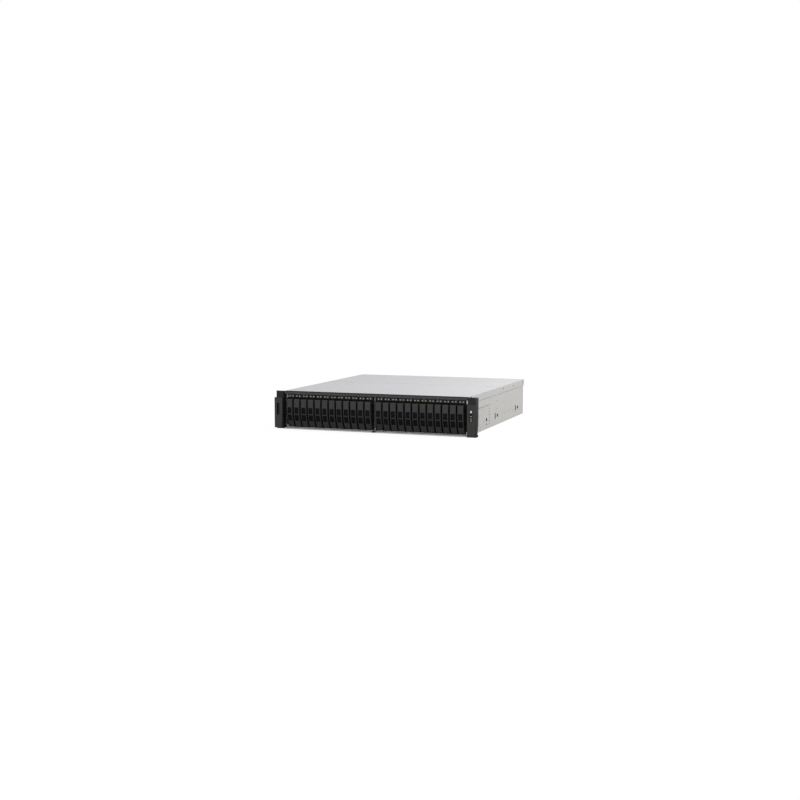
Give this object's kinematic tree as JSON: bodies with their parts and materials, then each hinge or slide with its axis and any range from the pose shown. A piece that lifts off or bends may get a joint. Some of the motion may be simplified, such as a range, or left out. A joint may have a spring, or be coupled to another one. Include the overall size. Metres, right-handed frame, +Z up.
{
  "type": "rackmount storage server",
  "caption": "Rackmount storage server with a full row of slide-out drive trays, rack ears, power button, lift-off rear cover and pull-out power supplies.",
  "frame": {"origin": "centre of the four rack screw slots, on the rear face of the ear flanges", "axes": "+X to the right seen from the front, +Y to the rear, +Z up"},
  "size_m": [0.4826, 0.5142, 0.087],
  "materials": {
    "sheet_steel": "light grey, satin",
    "bare_steel": "zinc plated, satin",
    "black_plastic": "charcoal, fine grain",
    "panel_plastic": "black, gloss",
    "button_plastic": "white, satin",
    "lens": "clear lens with coloured light",
    "board": "green circuit board",
    "fin_aluminium": "bare, satin",
    "module_plastic": "black",
    "fan_plastic": "black",
    "latch_plastic": "dark red",
    "pin_steel": "polished",
    "drive_metal": "grey, satin"
  },
  "bodies": {
    "chassis": {"base_pan": "sheet_steel", "right_side_wall": "sheet_steel", "left_side_wall": "sheet_steel", "front_top_cover": "sheet_steel", "rear_panel": "sheet_steel", "right_ear_bracket": "sheet_steel", "left_ear_bracket": "sheet_steel", "right_ear_cap": "black_plastic", "left_ear_cap": "black_plastic", "control_panel": "panel_plastic", "status_lenses": "lens", "front_top_bar": "black_plastic", "drive_cage": "bare_steel", "bay_trims": "black_plastic", "drive_backplane": "board", "fan_wall": "fan_plastic", "motherboard": "board", "cpu_heatsink": "fin_aluminium", "memory_modules": "module_plastic", "psu_cage": "bare_steel", "io_ports": "bare_steel", "slot_covers": "bare_steel"},
    "rear_cover": {"rear_top_cover": "sheet_steel"},
    "power_button": {"power_button": "button_plastic"},
    "tray_01": {"drive_tray_01": "black_plastic", "drive_tray_01_pivot_pin": "pin_steel", "drive_01": "drive_metal"},
    "tray_01_handle": {"drive_tray_01_handle": "black_plastic"},
    "psu_upper": {"psu_upper": "bare_steel"},
    "psu_lower": {"psu_lower": "bare_steel"},
    "psu_upper_latch": {"psu_upper_latch": "latch_plastic"},
    "psu_lower_latch": {"psu_lower_latch": "latch_plastic"},
    "fan_rotor_1": {"fan_rotor_1": "fan_plastic"},
    "fan_rotor_2": {"fan_rotor_2": "fan_plastic"},
    "fan_rotor_3": {"fan_rotor_3": "fan_plastic"},
    "tray_02": {"drive_tray_02": "black_plastic"},
    "tray_03": {"drive_tray_03": "black_plastic"},
    "tray_04": {"drive_tray_04": "black_plastic"},
    "tray_05": {"drive_tray_05": "black_plastic"},
    "tray_06": {"drive_tray_06": "black_plastic"},
    "tray_07": {"drive_tray_07": "black_plastic"},
    "tray_08": {"drive_tray_08": "black_plastic"},
    "tray_09": {"drive_tray_09": "black_plastic"},
    "tray_10": {"drive_tray_10": "black_plastic"},
    "tray_11": {"drive_tray_11": "black_plastic"},
    "tray_12": {"drive_tray_12": "black_plastic"},
    "tray_13": {"drive_tray_13": "black_plastic"},
    "tray_14": {"drive_tray_14": "black_plastic"},
    "tray_15": {"drive_tray_15": "black_plastic"},
    "tray_16": {"drive_tray_16": "black_plastic"},
    "tray_17": {"drive_tray_17": "black_plastic"},
    "tray_18": {"drive_tray_18": "black_plastic"},
    "tray_19": {"drive_tray_19": "black_plastic"},
    "tray_20": {"drive_tray_20": "black_plastic"},
    "tray_21": {"drive_tray_21": "black_plastic"},
    "tray_22": {"drive_tray_22": "black_plastic"},
    "tray_23": {"drive_tray_23": "black_plastic"},
    "tray_24": {"drive_tray_24": "black_plastic"}
  },
  "joints": [
    {"name": "power_button_press", "type": "slide", "parent": "chassis", "child": "power_button", "axis": [0, 1, 0], "range_m": [0, 0.0012], "stiffness_N_per_m": 1500},
    {"name": "tray_01_handle_swing", "type": "hinge", "parent": "tray_01", "child": "tray_01_handle", "pos_m": [-0.20305, 0.00325, -0.0362], "axis": [1, 0, 0], "range_deg": [0, 60]},
    {"name": "tray_01_slide", "type": "slide", "parent": "chassis", "child": "tray_01", "axis": [0, -1, 0], "range_m": [0, 0.085]},
    {"name": "rear_cover_lift", "type": "slide", "parent": "chassis", "child": "rear_cover", "axis": [0, 0, 1], "range_m": [0, 0.12]},
    {"name": "psu_upper_slide", "type": "slide", "parent": "chassis", "child": "psu_upper", "axis": [0, 1, 0], "range_m": [0, 0.18]},
    {"name": "psu_lower_slide", "type": "slide", "parent": "chassis", "child": "psu_lower", "axis": [0, 1, 0], "range_m": [0, 0.18]},
    {"name": "psu_upper_latch_push", "type": "slide", "parent": "psu_upper", "child": "psu_upper_latch", "axis": [-1, 0, 0], "range_m": [0, 0.002], "stiffness_N_per_m": 1500},
    {"name": "psu_lower_latch_push", "type": "slide", "parent": "psu_lower", "child": "psu_lower_latch", "axis": [-1, 0, 0], "range_m": [0, 0.002], "stiffness_N_per_m": 1500},
    {"name": "fan_rotor_1_spin", "type": "hinge", "parent": "chassis", "child": "fan_rotor_1", "pos_m": [-0.112, 0.178, -0.002], "axis": [0, 1, 0], "continuous": true},
    {"name": "fan_rotor_2_spin", "type": "hinge", "parent": "chassis", "child": "fan_rotor_2", "pos_m": [0, 0.178, -0.002], "axis": [0, 1, 0], "continuous": true},
    {"name": "fan_rotor_3_spin", "type": "hinge", "parent": "chassis", "child": "fan_rotor_3", "pos_m": [0.112, 0.178, -0.002], "axis": [0, 1, 0], "continuous": true},
    {"name": "tray_02_slide", "type": "slide", "parent": "chassis", "child": "tray_02", "axis": [0, -1, 0], "range_m": [0, 0.085]},
    {"name": "tray_03_slide", "type": "slide", "parent": "chassis", "child": "tray_03", "axis": [0, -1, 0], "range_m": [0, 0.085]},
    {"name": "tray_04_slide", "type": "slide", "parent": "chassis", "child": "tray_04", "axis": [0, -1, 0], "range_m": [0, 0.085]},
    {"name": "tray_05_slide", "type": "slide", "parent": "chassis", "child": "tray_05", "axis": [0, -1, 0], "range_m": [0, 0.085]},
    {"name": "tray_06_slide", "type": "slide", "parent": "chassis", "child": "tray_06", "axis": [0, -1, 0], "range_m": [0, 0.085]},
    {"name": "tray_07_slide", "type": "slide", "parent": "chassis", "child": "tray_07", "axis": [0, -1, 0], "range_m": [0, 0.085]},
    {"name": "tray_08_slide", "type": "slide", "parent": "chassis", "child": "tray_08", "axis": [0, -1, 0], "range_m": [0, 0.085]},
    {"name": "tray_09_slide", "type": "slide", "parent": "chassis", "child": "tray_09", "axis": [0, -1, 0], "range_m": [0, 0.085]},
    {"name": "tray_10_slide", "type": "slide", "parent": "chassis", "child": "tray_10", "axis": [0, -1, 0], "range_m": [0, 0.085]},
    {"name": "tray_11_slide", "type": "slide", "parent": "chassis", "child": "tray_11", "axis": [0, -1, 0], "range_m": [0, 0.085]},
    {"name": "tray_12_slide", "type": "slide", "parent": "chassis", "child": "tray_12", "axis": [0, -1, 0], "range_m": [0, 0.085]},
    {"name": "tray_13_slide", "type": "slide", "parent": "chassis", "child": "tray_13", "axis": [0, -1, 0], "range_m": [0, 0.085]},
    {"name": "tray_14_slide", "type": "slide", "parent": "chassis", "child": "tray_14", "axis": [0, -1, 0], "range_m": [0, 0.085]},
    {"name": "tray_15_slide", "type": "slide", "parent": "chassis", "child": "tray_15", "axis": [0, -1, 0], "range_m": [0, 0.085]},
    {"name": "tray_16_slide", "type": "slide", "parent": "chassis", "child": "tray_16", "axis": [0, -1, 0], "range_m": [0, 0.085]},
    {"name": "tray_17_slide", "type": "slide", "parent": "chassis", "child": "tray_17", "axis": [0, -1, 0], "range_m": [0, 0.085]},
    {"name": "tray_18_slide", "type": "slide", "parent": "chassis", "child": "tray_18", "axis": [0, -1, 0], "range_m": [0, 0.085]},
    {"name": "tray_19_slide", "type": "slide", "parent": "chassis", "child": "tray_19", "axis": [0, -1, 0], "range_m": [0, 0.085]},
    {"name": "tray_20_slide", "type": "slide", "parent": "chassis", "child": "tray_20", "axis": [0, -1, 0], "range_m": [0, 0.085]},
    {"name": "tray_21_slide", "type": "slide", "parent": "chassis", "child": "tray_21", "axis": [0, -1, 0], "range_m": [0, 0.085]},
    {"name": "tray_22_slide", "type": "slide", "parent": "chassis", "child": "tray_22", "axis": [0, -1, 0], "range_m": [0, 0.085]},
    {"name": "tray_23_slide", "type": "slide", "parent": "chassis", "child": "tray_23", "axis": [0, -1, 0], "range_m": [0, 0.085]},
    {"name": "tray_24_slide", "type": "slide", "parent": "chassis", "child": "tray_24", "axis": [0, -1, 0], "range_m": [0, 0.085]}
  ]
}
